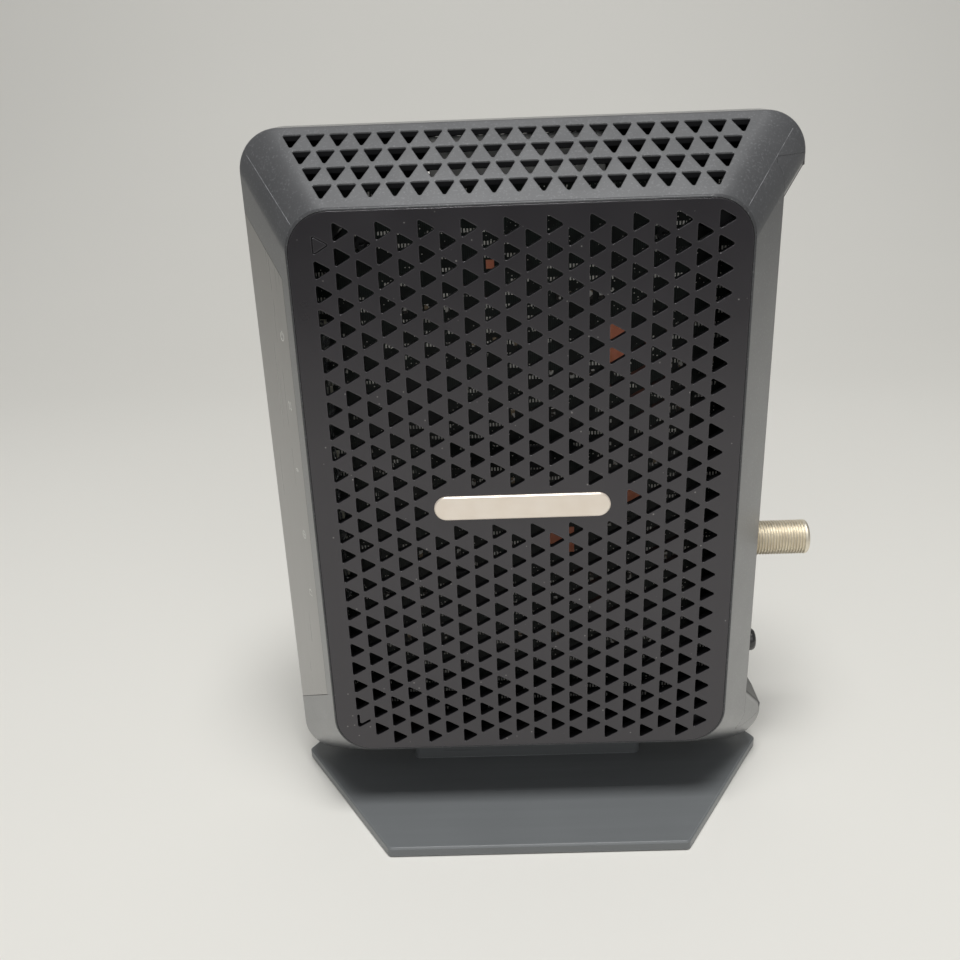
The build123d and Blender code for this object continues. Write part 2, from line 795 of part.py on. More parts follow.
# ---------------------------------------------------------------- stand and fasteners
def make_stand():
    """Six-sided plate with a neck that hugs the underside of the housing."""
    points = [(-plate_half_length, 0), (-plate_flat_half, -plate_half_width),
              (plate_flat_half, -plate_half_width), (plate_half_length, 0),
              (plate_flat_half, plate_half_width), (-plate_flat_half, plate_half_width)]
    plate = plan_profile(points, plate_bottom, plate_top)
    plate = fillet(plate.edges().filter_by(Axis.Z), plate_corner)
    plate = chamfer(plate.faces().sort_by(Axis.Z)[-1].edges(), 0.4)
    neck = block(*neck_x, -neck_half_width, neck_half_width, plate_top - 1, neck_top)
    neck = fillet(neck.edges().filter_by(Axis.Z), 2.0)
    stand = plate + (neck - envelope(-0.02))
    for x in stand_screw_x:
        stand -= rod_z(x, stand_screw_y, 0, 20, stand_screw_radius + screw_clearance)
        stand -= rod_z(x, stand_screw_y, 0, stand_head_depth, screw_head_radius + 0.3)
    for x, y in foot_spots:
        stand -= rod_z(x, y, 0, plate_bottom + foot_depth, foot_radius + 0.1)
    return stand


def make_feet():
    feet = []
    for x, y in foot_spots:
        foot = rod_z(x, y, 0, plate_bottom + foot_depth - 0.02, foot_radius)
        feet.append(chamfer(foot.faces().sort_by(Axis.Z)[0].edges(), 0.2))
    return group(feet)


def screw(head, length, radius, place):
    """Pan-headed screw along local Z, head first, turned into place; a cross recess in the head."""
    body = extrude(Circle(screw_head_radius), amount=head)
    body = fillet(body.faces().sort_by(Axis.Z)[0].edges(), 0.5)
    body += Location((0, 0, head - 0.1)) * extrude(Circle(radius), amount=length)
    for angle in (0, 90):
        body -= Rotation(0, 0, angle) * Box(screw_head_radius * 1.1, recess_width, 2 * recess_depth)
    return place * body


def make_case_screws():
    """Long screws from the far side that draw the two half housings together."""
    screws = []
    for x, z in case_spots:
        place = Location(Plane(origin=(x, case_head_y + 2.0, z), z_dir=(0, -1, 0)))
        screws.append(screw(1.95, case_head_y - case_screw_tip_y + 0.05, case_screw_radius, place))
    return group(screws)


def make_board_screws():
    screws = []
    for x, z in board_screw_spots:
        place = Location(Plane(origin=(x, board_near_y - 1.85, z), z_dir=(0, 1, 0)))
        screws.append(screw(1.83, board_screw_depth, board_screw_radius, place))
    return group(screws)


def make_stand_screws():
    screws = []
    for x in stand_screw_x:
        place = Location((x, stand_screw_y, 0.8))
        screws.append(screw(1.78, 11.7, stand_screw_radius, place))
    return group(screws)


near_shell, far_shell = make_shells()
save(near_shell, "near_shell")
save(far_shell, "far_shell")
save(make_near_panel(), "near_panel")
save(make_far_panel(), "far_panel")
save(make_badge(), "badge")
save(make_window(), "light_window")
save(make_light_guide(), "light_guide")
save(make_lights(), "indicator_lights")
save(make_port_plate(), "socket_plate")
save(make_coax_shell(), "coax_shell")
save(make_coax_insulator(), "coax_insulator")
save(make_coax_contact(), "coax_contact")
save(make_tuner_shield(), "tuner_shield")
save(make_jack_shell(), "network_jack_shell")
save(make_jack_insert(), "network_jack_insert")
save(make_jack_contacts(), "network_jack_contacts")
save(make_inlet(), "power_inlet")
save(make_inlet_pin(), "power_inlet_pin")
save(make_power_switch(), "power_switch")
save(make_power_button(), "power_button")
save(make_reset_switch(), "reset_switch")
save(make_reset_plunger(), "reset_plunger")
save(make_board(), "main_board")
save(make_copper_pads(), "copper_pads")
save(make_near_chips(), "near_side_chips")
save(make_passives(), "small_parts")
save(make_processor(), "processor")
save(make_thermal_pad(), "thermal_pad")
save(make_heatsink(), "heatsink")
save(make_sink_pins(), "heatsink_pins")
save(make_memory(), "memory_chips")
save(make_flash(), "flash_chip")
save(make_transformer(), "network_transformer")
save(make_capacitors(), "capacitors")
save(make_inductors(), "inductors")
save(make_crystal(), "crystal")
save(make_stand(), "stand")
save(make_feet(), "rubber_feet")
save(make_case_screws(), "case_screws")
save(make_board_screws(), "board_screws")
save(make_stand_screws(), "stand_screws")
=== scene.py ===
import json
import math

import bmesh
import bpy
from mathutils import Matrix, Vector


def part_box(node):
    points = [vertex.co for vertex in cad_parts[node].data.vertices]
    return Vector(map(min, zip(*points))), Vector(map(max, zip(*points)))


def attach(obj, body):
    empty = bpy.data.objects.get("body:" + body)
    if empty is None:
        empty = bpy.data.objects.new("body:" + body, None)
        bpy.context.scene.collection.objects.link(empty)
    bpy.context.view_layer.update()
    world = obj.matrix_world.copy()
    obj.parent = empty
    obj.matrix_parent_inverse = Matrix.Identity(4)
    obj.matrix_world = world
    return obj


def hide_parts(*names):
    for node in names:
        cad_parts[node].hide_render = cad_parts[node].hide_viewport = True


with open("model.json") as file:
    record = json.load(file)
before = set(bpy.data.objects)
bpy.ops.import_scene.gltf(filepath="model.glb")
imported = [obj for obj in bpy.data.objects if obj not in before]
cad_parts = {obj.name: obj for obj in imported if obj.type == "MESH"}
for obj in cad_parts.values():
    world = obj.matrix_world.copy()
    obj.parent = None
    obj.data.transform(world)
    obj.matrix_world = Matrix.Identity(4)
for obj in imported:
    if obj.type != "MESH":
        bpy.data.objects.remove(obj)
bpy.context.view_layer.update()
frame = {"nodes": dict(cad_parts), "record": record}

MM = 0.001

# ---------------------------------------------------------------- sizes taken from the frame
shell_low, shell_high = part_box("near_shell")
panel_low, panel_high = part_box("near_panel")
coax_low, coax_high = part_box("coax_shell")
plate_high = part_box("socket_plate")[1]

RIDGE_BAND = 5.2 * MM            # half width of the flat band along the ridge
RIDGE_CORNER = 9.9 * MM          # corner radius of the ridge outline
FACE_CORNER = 9.8 * MM           # corner radius of the broad face
PANEL_INSET = 0.45 * MM          # from the broad face's outline in to the panel's
FACE_Y = -shell_low.y            # how far each broad face stands from the middle
RIDGE_HALF_WIDTH = shell_high.x
RIDGE_HALF_HEIGHT = (shell_high.z - shell_low.z) / 2
BODY_MIDDLE = (shell_high.z + shell_low.z) / 2
FACE_MIDDLE = (panel_low.x + panel_high.x) / 2
FACE_HALF_WIDTH = (panel_high.x - panel_low.x) / 2 + PANEL_INSET
FACE_HALF_HEIGHT = (panel_high.z - panel_low.z) / 2 + PANEL_INSET


# ---------------------------------------------------------------- material helpers
COAT_ROUGHNESS = 0.32
MIDDLE = (0.3, 0.7)              # the part of a noise's range where most of its values lie
WIDE = (0.25, 0.75)              # a wider part, for gentler changes
SPECKS = (0.56, 0.72)            # only the highest values of a fine noise: bright specks
EDGE_TURN = (0.98, 0.75)         # how far a normal agrees with its rounded self: flat, sharp edge
BEVEL_SAMPLES = 4


class Surface:
    """A procedural material under construction: its nodes, and the shader they feed."""

    def __init__(self, name):
        self.material = bpy.data.materials.new(name)
        self.material.use_nodes = True
        self.tree = self.material.node_tree
        self.shader = self.tree.nodes["Principled BSDF"]
        self.place = self.tree.nodes.new("ShaderNodeTexCoord").outputs["Object"]

    def node(self, kind, **settings):
        made = self.tree.nodes.new(kind)
        for key, value in settings.items():
            setattr(made, key, value)
        return made

    def link(self, source, target):
        self.tree.links.new(source, target)

    def scaled(self, scale):
        """The place on the object stretched by a factor for each axis."""
        mapping = self.node("ShaderNodeMapping")
        mapping.inputs["Scale"].default_value = scale
        self.link(self.place, mapping.inputs["Vector"])
        return mapping.outputs["Vector"]

    def noise(self, size, detail=2.0, roughness=0.5, stretch=(1, 1, 1)):
        """Noise whose features are about this size, in metres."""
        made = self.node("ShaderNodeTexNoise")
        made.inputs["Scale"].default_value = 1.0 / size
        made.inputs["Detail"].default_value = detail
        made.inputs["Roughness"].default_value = roughness
        self.link(self.scaled(stretch), made.inputs["Vector"])
        return made.outputs["Fac"]

    def axes(self):
        """The place on the object as three sockets, X, Y and Z."""
        split = self.node("ShaderNodeSeparateXYZ")
        self.link(self.place, split.inputs["Vector"])
        return split.outputs

    def cells(self, size, randomness=1.0):
        """Distance from the nearest cell centre, for cells of about this size in metres."""
        made = self.node("ShaderNodeTexVoronoi", feature="F1")
        made.inputs["Scale"].default_value = 1.0 / size
        made.inputs["Randomness"].default_value = randomness
        self.link(self.place, made.inputs["Vector"])
        return made.outputs["Distance"]

    def ramp(self, source, low, high, start=0.0, end=1.0):
        """Maps a range of the source to another range, held at both ends."""
        made = self.node("ShaderNodeMapRange")
        made.inputs["From Min"].default_value = low
        made.inputs["From Max"].default_value = high
        made.inputs["To Min"].default_value = start
        made.inputs["To Max"].default_value = end
        self.link(source, made.inputs["Value"])
        return made.outputs["Result"]

    def maths(self, operation, first, second=0):
        made = self.node("ShaderNodeMath", operation=operation)
        for socket, value in zip(made.inputs, (first, second)):
            self.put(value, socket)
        return made.outputs["Value"]

    def mix(self, factor, first, second):
        """Blends two colours, each a tuple or a socket."""
        made = self.node("ShaderNodeMix", data_type="RGBA")
        for label, value in (("Factor", factor), ("A", first), ("B", second)):
            self.put(value, made.inputs[label])
        return made.outputs["Result"]

    def put(self, value, socket):
        """Sets a socket to a colour or a number, or links another socket to it."""
        if isinstance(value, tuple):
            socket.default_value = (*value, 1.0) if len(value) == 3 else value
        elif isinstance(value, (int, float)):
            socket.default_value = value
        else:
            self.link(value, socket)

    # Mask for paler colour along sharp edges: partly edge wear, partly a painted highlight where the edges
    # catch the light.
    def edge_wear_and_highlight(self, radius):
        """One where the surface turns a sharp edge, nought on the flats."""
        rounded = self.node("ShaderNodeBevel", samples=BEVEL_SAMPLES)
        rounded.inputs["Radius"].default_value = radius
        true = self.node("ShaderNodeNewGeometry").outputs["Normal"]
        dot = self.node("ShaderNodeVectorMath", operation="DOT_PRODUCT")
        self.link(rounded.outputs["Normal"], dot.inputs[0])
        self.link(true, dot.inputs[1])
        return self.ramp(dot.outputs["Value"], *EDGE_TURN)

    def grain(self, height, strength, distance, edge_radius=None):
        """Fine relief from a height pattern, over softly rounded edges."""
        bump = self.node("ShaderNodeBump")
        bump.inputs["Strength"].default_value = strength
        bump.inputs["Distance"].default_value = distance
        self.link(height, bump.inputs["Height"])
        if edge_radius:
            soft = self.node("ShaderNodeBevel", samples=BEVEL_SAMPLES)
            soft.inputs["Radius"].default_value = edge_radius
            self.link(soft.outputs["Normal"], bump.inputs["Normal"])
        return bump.outputs["Normal"]

    def finish(self, colour, roughness, normal, metallic=0.0, specular=0.5, coat=0.0,
               tint=(1.0, 1.0, 1.0)):
        """Feeds the shader, and returns the finished material."""
        self.put(colour, self.shader.inputs["Base Color"])
        self.put(roughness, self.shader.inputs["Roughness"])
        self.put(metallic, self.shader.inputs["Metallic"])
        self.shader.inputs["Specular IOR Level"].default_value = specular
        self.shader.inputs["Coat Weight"].default_value = coat
        self.shader.inputs["Coat Roughness"].default_value = COAT_ROUGHNESS
        self.shader.inputs["Specular Tint"].default_value = (*tint, 1.0)
        self.link(normal, self.shader.inputs["Normal"])
        return self.material


def shade(colour, factor):
    """A colour made darker or brighter by a factor."""
    return tuple(min(1.0, channel * factor) for channel in colour)


def moulded(name, colour, roughness, grain_size=0.3 * MM, relief=0.25, wear_and_highlight=0.15, specular=0.5,
            edge=0.25 * MM, cloud=18 * MM):
    """Moulded plastic: clouded colour, textured grain and paler edges, partly wear and partly a painted
    highlight.
    """
    s = Surface(name)
    large = s.noise(cloud, detail=3.0)
    fine = s.noise(grain_size, detail=1.5, roughness=0.6)
    tone = s.mix(s.ramp(large, *MIDDLE), shade(colour, 0.90), shade(colour, 1.10))
    # Paler colour along sharp edges: partly wear, partly a painted highlight.
    if wear_and_highlight:
        edges = s.maths("MULTIPLY", s.edge_wear_and_highlight(edge * 1.5), wear_and_highlight)
        tone = s.mix(edges, tone, shade(colour, 2.6))
    smudge = s.noise(9 * MM, detail=4.0)
    rough = s.ramp(smudge, *WIDE, roughness - 0.04, roughness + 0.05)
    normal = s.grain(fine, relief, 0.03 * MM, edge_radius=edge)
    return s.finish(tone, rough, normal, specular=specular)


def metal(name, colour, roughness, brushed=(1, 1, 1), tarnish=0.15, tint=None):
    """Bare or plated metal with brush marks and a faint tarnish."""
    s = Surface(name)
    marks = s.noise(0.5 * MM, detail=3.0, stretch=brushed)
    patches = s.noise(3 * MM, detail=3.0)
    dull = tint or shade(colour, 0.7)
    tone = s.mix(s.ramp(patches, 0.4, 0.75, 0.0, tarnish * 3), colour, dull)
    rough = s.ramp(marks, *WIDE, roughness * 0.75, roughness * 1.3)
    normal = s.grain(marks, 0.15, 0.02 * MM, edge_radius=0.12 * MM)
    return s.finish(tone, rough, normal, metallic=1.0)


# ---------------------------------------------------------------- materials, one function each
GREY = (0.066, 0.067, 0.070)
BARE_PLASTIC = (0.009, 0.009, 0.010)
CHARCOAL = (0.0085, 0.0070, 0.0090)
# Painted highlight colour for the rims of the panel's holes and edges.
PAINTED_RIM_HIGHLIGHT = (0.085, 0.082, 0.088)
DUST = (0.24, 0.23, 0.22)
TAUPE = (0.172, 0.163, 0.148)
SLATE = (0.166, 0.176, 0.182)
SOLDER_MASK = (0.006, 0.009, 0.008)
TRACK = (0.016, 0.026, 0.022)
SOLDER = (0.80, 0.79, 0.74)


def depth_inside_housing(s, place, from_middle):
    """How far a point lies inside the housing's outer form, square to the outline, in metres."""
    from_ridge = s.maths("MAXIMUM", s.maths("SUBTRACT", from_middle, RIDGE_BAND), 0)
    along = s.maths("DIVIDE", from_ridge, FACE_Y - RIDGE_BAND)
    corner = s.ramp(along, 0, 1, RIDGE_CORNER, FACE_CORNER)
    middle = s.ramp(along, 0, 1, 0, FACE_MIDDLE)
    reach = []
    for axis, centre, half in (("X", middle, (RIDGE_HALF_WIDTH, FACE_HALF_WIDTH)),
                               ("Z", BODY_MIDDLE, (RIDGE_HALF_HEIGHT, FACE_HALF_HEIGHT))):
        away = s.maths("ABSOLUTE", s.maths("SUBTRACT", place[axis], centre))
        reach.append(s.maths("ADD", s.maths("SUBTRACT", away, s.ramp(along, 0, 1, *half)), corner))
    squares = [s.maths("POWER", s.maths("MAXIMUM", value, 0), 2) for value in reach]
    outside = s.maths("SQRT", s.maths("ADD", *squares))
    inside = s.maths("MINIMUM", s.maths("MAXIMUM", *reach), 0)
    return s.maths("SUBTRACT", corner, s.maths("ADD", outside, inside))


def housing_material():
    """Metallic grey paint outside with painted glints and a painted highlight along sharp edges, dull at
    rims and edges; bare black plastic inside and in the vents.
    """
    s = Surface("housing_grey")
    cloud = s.noise(18 * MM, detail=3.0)
    fine = s.noise(0.55 * MM, detail=1.5, roughness=0.6)
    tone = s.mix(s.ramp(cloud, *MIDDLE), shade(GREY, 0.93), shade(GREY, 1.07))
    # Bright specks: painted glints standing in for the sparkle of the metallic paint.
    tone = s.mix(s.ramp(fine, *SPECKS, 0.0, 0.34), tone, shade(GREY, 3.6))
    # Paler colour along sharp edges: a painted highlight.
    edges = s.edge_wear_and_highlight(0.35 * MM)
    tone = s.mix(s.maths("MULTIPLY", edges, 0.12), tone, shade(GREY, 2.8))
    place = s.axes()
    from_middle = s.maths("ABSOLUTE", place["Y"])
    bare = s.ramp(depth_inside_housing(s, place, from_middle), 0.25 * MM, 0.45 * MM)
    tone = s.mix(bare, tone, BARE_PLASTIC)
    rough = s.ramp(s.noise(9 * MM, detail=4.0), *WIDE, 0.33, 0.40)
    normal = s.grain(fine, 0.45, 0.03 * MM, edge_radius=0.25 * MM)
    material = s.finish(tone, rough, normal, tint=(0.96, 0.98, 1.0))
    rim = s.ramp(from_middle, FACE_Y - 0.55 * MM, FACE_Y - 0.35 * MM, 0.0, 0.9)
    dull = s.maths("MAXIMUM", s.maths("MAXIMUM", bare, rim), s.maths("MULTIPLY", edges, 0.7))
    s.link(s.ramp(dull, 0, 1, 1.0, 0.15), s.shader.inputs["Specular IOR Level"])
    s.link(s.ramp(dull, 0, 1, 0.9, 0.0), s.shader.inputs["Coat Weight"])
    return material


def panel_material():
    """Satin charcoal with rare pale dust specks and a painted highlight on the rims of the holes; bare
    plastic on the walls of the holes.
    """
    s = Surface("panel_charcoal")
    large = s.noise(25 * MM, detail=3.0)
    tone = s.mix(s.ramp(large, *MIDDLE), shade(CHARCOAL, 0.9), shade(CHARCOAL, 1.12))
    speck = s.ramp(s.cells(2.6 * MM), 0.095, 0.065)
    rare = s.ramp(s.noise(7 * MM, detail=1.0), 0.52, 0.56)
    tone = s.mix(s.maths("MULTIPLY", s.maths("MULTIPLY", speck, rare), 0.8), tone, DUST)
    # Paler rims round the holes and along the panel's edges: a painted highlight.
    edges = s.maths("MULTIPLY", s.edge_wear_and_highlight(0.35 * MM), 0.7)
    tone = s.mix(edges, tone, PAINTED_RIM_HIGHLIGHT)
    depth = s.maths("SUBTRACT", FACE_Y, s.maths("ABSOLUTE", s.axes()["Y"]))
    inside = s.ramp(depth, 0.15 * MM, 0.35 * MM)
    tone = s.mix(inside, tone, shade(BARE_PLASTIC, 0.8))
    fine = s.noise(0.25 * MM, detail=1.5)
    rough = s.ramp(s.noise(12 * MM, detail=4.0), *WIDE, 0.27, 0.33)
    normal = s.grain(fine, 0.16, 0.02 * MM, edge_radius=0.22 * MM)
    material = s.finish(tone, rough, normal, tint=(0.97, 0.95, 1.0))
    s.link(s.ramp(inside, 0, 1, 1.0, 0.3), s.shader.inputs["Specular IOR Level"])
    return material


def window_material():
    """Satin taupe insert with faint streaks along its length."""
    s = Surface("window_taupe")
    streak = s.noise(1.2 * MM, detail=3.0, stretch=(1, 1, 0.03))
    cloud = s.noise(30 * MM, detail=2.0)
    tone = s.mix(s.ramp(streak, *MIDDLE), shade(TAUPE, 0.92), shade(TAUPE, 1.08))
    tone = s.mix(s.ramp(cloud, *MIDDLE, 0.0, 0.3), tone, shade(TAUPE, 1.12))
    rough = s.ramp(streak, *WIDE, 0.26, 0.36)
    normal = s.grain(streak, 0.12, 0.02 * MM, edge_radius=0.2 * MM)
    return s.finish(tone, rough, normal, specular=1.0, coat=0.9)


def stand_material():
    """Satin slate grey with faint streaks along its length and paler edges, which are a painted highlight.
    """
    s = Surface("stand_slate")
    streak = s.noise(2.5 * MM, detail=2.0, stretch=(0.05, 1, 1))
    tone = s.mix(s.ramp(s.noise(40 * MM), *MIDDLE), shade(SLATE, 0.95), shade(SLATE, 1.05))
    tone = s.mix(s.ramp(streak, *MIDDLE, 0.0, 0.5), tone, shade(SLATE, 0.90))
    # Paler edges: a painted highlight.
    tone = s.mix(s.maths("MULTIPLY", s.edge_wear_and_highlight(0.5 * MM), 0.5), tone, shade(SLATE, 2.4))
    rough = s.ramp(streak, *WIDE, 0.27, 0.34)
    return s.finish(tone, rough, s.grain(streak, 0.05, 0.01 * MM, edge_radius=0.35 * MM))


def badge_material():
    """Satin cream with a faint pearly cloud."""
    s = Surface("badge_cream")
    cloud = s.noise(5 * MM, detail=2.0)
    tone = s.mix(s.ramp(cloud, *MIDDLE), (0.93, 0.83, 0.72), (0.97, 0.88, 0.78))
    rough = s.ramp(s.noise(0.8 * MM), *WIDE, 0.30, 0.40)
    normal = s.grain(s.noise(0.3 * MM), 0.08, 0.02 * MM, edge_radius=0.12 * MM)
    return s.finish(tone, rough, normal, metallic=0.5)


def board_material():
    """Near-black solder mask with tracks, dotted vias and rows of small tinned pads."""
    s = Surface("board_mask")
    place = s.axes()

    def stripes(axis, pitch, share):
        """One on evenly spaced stripes that fill this share of the pitch."""
        turn = s.maths("FRACT", s.maths("DIVIDE", place[axis], pitch))
        return s.maths("LESS_THAN", turn, share)

    zones = s.ramp(s.noise(9 * MM, detail=0.0), 0.50, 0.53)
    tracks = s.maths("MULTIPLY", stripes("X", 0.5 * MM, 0.45), zones)
    tone = s.mix(tracks, SOLDER_MASK, TRACK)
    via = s.ramp(s.cells(1.0 * MM, randomness=0.35), 0.21, 0.17)
    via_zone = s.ramp(s.noise(7 * MM, detail=0.0, stretch=(1, 1, 1.3)), 0.50, 0.52)
    tone = s.mix(s.maths("MULTIPLY", via, via_zone), tone, SOLDER)
    pads = s.maths("MULTIPLY", stripes("X", 0.8 * MM, 0.5), stripes("Z", 3.1 * MM, 0.3))
    pad_zone = s.ramp(s.noise(8 * MM, detail=0.0, stretch=(1.4, 1, 1)), 0.55, 0.57)
    tone = s.mix(s.maths("MULTIPLY", pads, pad_zone), tone, SOLDER)
    rough = s.ramp(s.noise(2 * MM), *WIDE, 0.28, 0.42)
    normal = s.grain(tracks, 0.3, 0.04 * MM)
    return s.finish(tone, rough, normal)


def copper_material():
    """Bare copper patch drilled with a regular grid of dark vias."""
    s = Surface("bare_copper")
    via = s.ramp(s.cells(1.25 * MM, randomness=0.0), 0.30, 0.24)
    stain = s.noise(2 * MM, detail=3.0)
    copper = s.mix(s.ramp(stain, *MIDDLE), (0.78, 0.25, 0.14), (0.90, 0.34, 0.21))
    tone = s.mix(via, copper, (0.05, 0.02, 0.015))
    rough = s.ramp(stain, *MIDDLE, 0.42, 0.55)
    return s.finish(tone, rough, s.grain(stain, 0.1, 0.02 * MM), metallic=0.10)


def parts_material():
    """Small soldered parts: dark or tan bodies with tinned ends."""
    s = Surface("ceramic_parts")
    body = s.mix(s.ramp(s.cells(2.2 * MM), 0.2, 0.5), (0.30, 0.23, 0.15), (0.05, 0.045, 0.04))
    rough = s.ramp(s.noise(0.6 * MM), *WIDE, 0.35, 0.55)
    ends = s.ramp(s.noise(1.1 * MM, detail=0.0), 0.52, 0.56)
    tone = s.mix(ends, body, (0.62, 0.61, 0.58))
    return s.finish(tone, rough, s.grain(s.noise(0.3 * MM), 0.2, 0.02 * MM))


def guide_material():
    """Clear moulded plastic with a faint haze."""
    s = Surface("clear_guide")
    haze = s.noise(4 * MM, detail=3.0)
    s.shader.inputs["Transmission Weight"].default_value = 0.85
    s.shader.inputs["IOR"].default_value = 1.49
    tone = s.mix(s.ramp(haze, *MIDDLE), (0.88, 0.90, 0.91), (0.80, 0.83, 0.85))
    return s.finish(tone, s.ramp(haze, *MIDDLE, 0.08, 0.20), s.grain(haze, 0.05, 0.02 * MM))


def can_material():
    """Electrolytic can: dark printed sleeve, with the bare metal top outermost along Y."""
    s = Surface("can_sleeve")
    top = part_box("capacitors")[1].y
    bare = s.ramp(s.axes()["Y"], top - 0.7 * MM, top - 0.6 * MM)
    stripe = s.ramp(s.noise(5 * MM, detail=0.0, stretch=(1, 0.05, 1)), 0.52, 0.54)
    sleeve = s.mix(stripe, (0.02, 0.02, 0.035), (0.30, 0.30, 0.33))
    tone = s.mix(bare, sleeve, (0.70, 0.70, 0.70))
    rough = s.ramp(s.noise(0.5 * MM), *WIDE, 0.25, 0.38)
    return s.finish(tone, rough, s.grain(s.noise(0.4 * MM), 0.1, 0.02 * MM), metallic=bare)


def icon_material():
    """Pale ink."""
    s = Surface("icon_pale")
    cloud = s.noise(1.0 * MM, detail=2.0)
    tone = s.mix(s.ramp(cloud, *MIDDLE), (0.66, 0.66, 0.63), (0.76, 0.76, 0.73))
    return s.finish(tone, s.ramp(cloud, *MIDDLE, 0.40, 0.5), s.grain(cloud, 0.05, 0.01 * MM))


def witness_material():
    """Paler grey along a moulding line: partly paint rubbed thin, partly a painted highlight on the fine
    ridge.
    """
    s = Surface("witness_grey")
    rub = s.noise(2.5 * MM, detail=2.0)
    # Paler grey tones: partly rubbed paint, partly a painted highlight.
    tone = s.mix(s.ramp(rub, 0.35, 0.65), shade(GREY, 1.6), shade(GREY, 4.5))
    return s.finish(tone, s.ramp(rub, *MIDDLE, 0.35, 0.5), s.grain(rub, 0.05, 0.01 * MM), specular=0.8)


def floor_material():
    """Pale warm studio floor with the faintest cloud."""
    s = Surface("stage_floor")
    cloud = s.noise(0.6, detail=3.0)
    fine = s.noise(4 * MM, detail=2.0)
    tone = s.mix(s.ramp(cloud, *MIDDLE), (0.775, 0.765, 0.725), (0.805, 0.795, 0.755))
    return s.finish(tone, s.ramp(fine, *MIDDLE, 0.55, 0.65), s.grain(fine, 0.03, 0.05 * MM), specular=0.25)


def make_materials():
    """Every finish, by the name of the record's material slot."""
    fine_black = {"grain_size": 0.25 * MM, "relief": 0.3, "wear_and_highlight": 0.15, "edge": 0.15 * MM, "cloud": 8 * MM}
    return {
        "housing_grey": housing_material(),
        "panel_charcoal": panel_material(),
        "badge_cream": badge_material(),
        "window_taupe": window_material(),
        "clear_guide": guide_material(),
        "light_white": moulded("light_white", (0.70, 0.69, 0.58), 0.35, wear_and_highlight=0.0, cloud=1 * MM),
        "nickel": metal("nickel", (0.90, 0.84, 0.71), 0.50, tarnish=0.08, tint=(0.60, 0.50, 0.38)),
        "insulator_white": moulded("insulator_white", (0.78, 0.77, 0.72), 0.40, wear_and_highlight=0.0, cloud=2 * MM),
        "contact_brass": metal("contact_brass", (0.86, 0.66, 0.30), 0.22, tarnish=0.1),
        "tin_plate": metal("tin_plate", (0.66, 0.66, 0.64), 0.30, brushed=(1, 1, 0.1)),
        "jack_black": moulded("jack_black", (0.016, 0.016, 0.017), 0.38, **fine_black),
        "key_black": moulded("key_black", (0.030, 0.030, 0.031), 0.24, relief=0.05, wear_and_highlight=0.2, specular=0.7,
                             edge=0.2 * MM, cloud=4 * MM),
        "switch_black": moulded("switch_black", (0.035, 0.035, 0.038), 0.45, **fine_black),
        "board_mask": board_material(),
        "bare_copper": copper_material(),
        "chip_black": moulded("chip_black", (0.022, 0.022, 0.024), 0.50, grain_size=0.12 * MM, relief=0.3,
                              wear_and_highlight=0.1, edge=0.1 * MM, cloud=6 * MM),
        "ceramic_parts": parts_material(),
        "thermal_grey": moulded("thermal_grey", (0.28, 0.30, 0.35), 0.8, wear_and_highlight=0.0, cloud=3 * MM),
        "sink_aluminium": metal("sink_aluminium", (0.86, 0.86, 0.85), 0.42, brushed=(1, 1, 0.04)),
        "pin_white": moulded("pin_white", (0.70, 0.70, 0.64), 0.4, wear_and_highlight=0.0, cloud=2 * MM),
        "can_sleeve": can_material(),
        "ferrite": moulded("ferrite", (0.05, 0.05, 0.052), 0.6, **fine_black),
        "stand_slate": stand_material(),
        "foot_rubber": moulded("foot_rubber", (0.02, 0.02, 0.02), 0.75, relief=0.4, wear_and_highlight=0.1, cloud=3 * MM),
        "screw_black": moulded("screw_black", (0.02, 0.02, 0.022), 0.22, relief=0.05, wear_and_highlight=0.5,
                               cloud=2 * MM),
        "screw_zinc": metal("screw_zinc", (0.70, 0.70, 0.66), 0.28, tarnish=0.12),
    }


materials = make_materials()
slot_of = {entry["node"]: entry["material_slot"] for entry in frame["record"]["subparts"]}
for name, node in frame["nodes"].items():
    node.data.materials.clear()
    node.data.materials.append(materials[slot_of[name]])


# ---------------------------------------------------------------- mesh helpers
def new_piece(name, mesh, body, slot, material=None):
    """Puts a finished mesh in the scene, on its body and in its material slot."""
    piece = bpy.data.objects.new(name, mesh)
    bpy.context.scene.collection.objects.link(piece)
    mesh.materials.append(material or materials[slot])
    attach(piece, body)
    return piece


def mesh_from(name, build):
    """Runs a function that fills a bmesh, and returns it as a mesh with outward faces."""
    form = bmesh.new()
    build(form)
    bmesh.ops.remove_doubles(form, verts=form.verts, dist=0.001 * MM)
    bmesh.ops.recalc_face_normals(form, faces=form.faces)
    mesh = bpy.data.meshes.new(name)
    form.to_mesh(mesh)
    form.free()
    return mesh


def ring_band(form, first, second, closed=True):
    """Faces between two rings of vertices with the same count."""
    count = len(first)
    for index in range(count if closed else count - 1):
        following = (index + 1) % count
        form.faces.new((first[index], first[following], second[following], second[index]))


def smooth(mesh, angle=30.0):
    """Smooth shading, with edges sharper than this many degrees kept crisp."""
    mesh.shade_smooth()
    mesh.set_sharp_from_angle(angle=math.radians(angle))


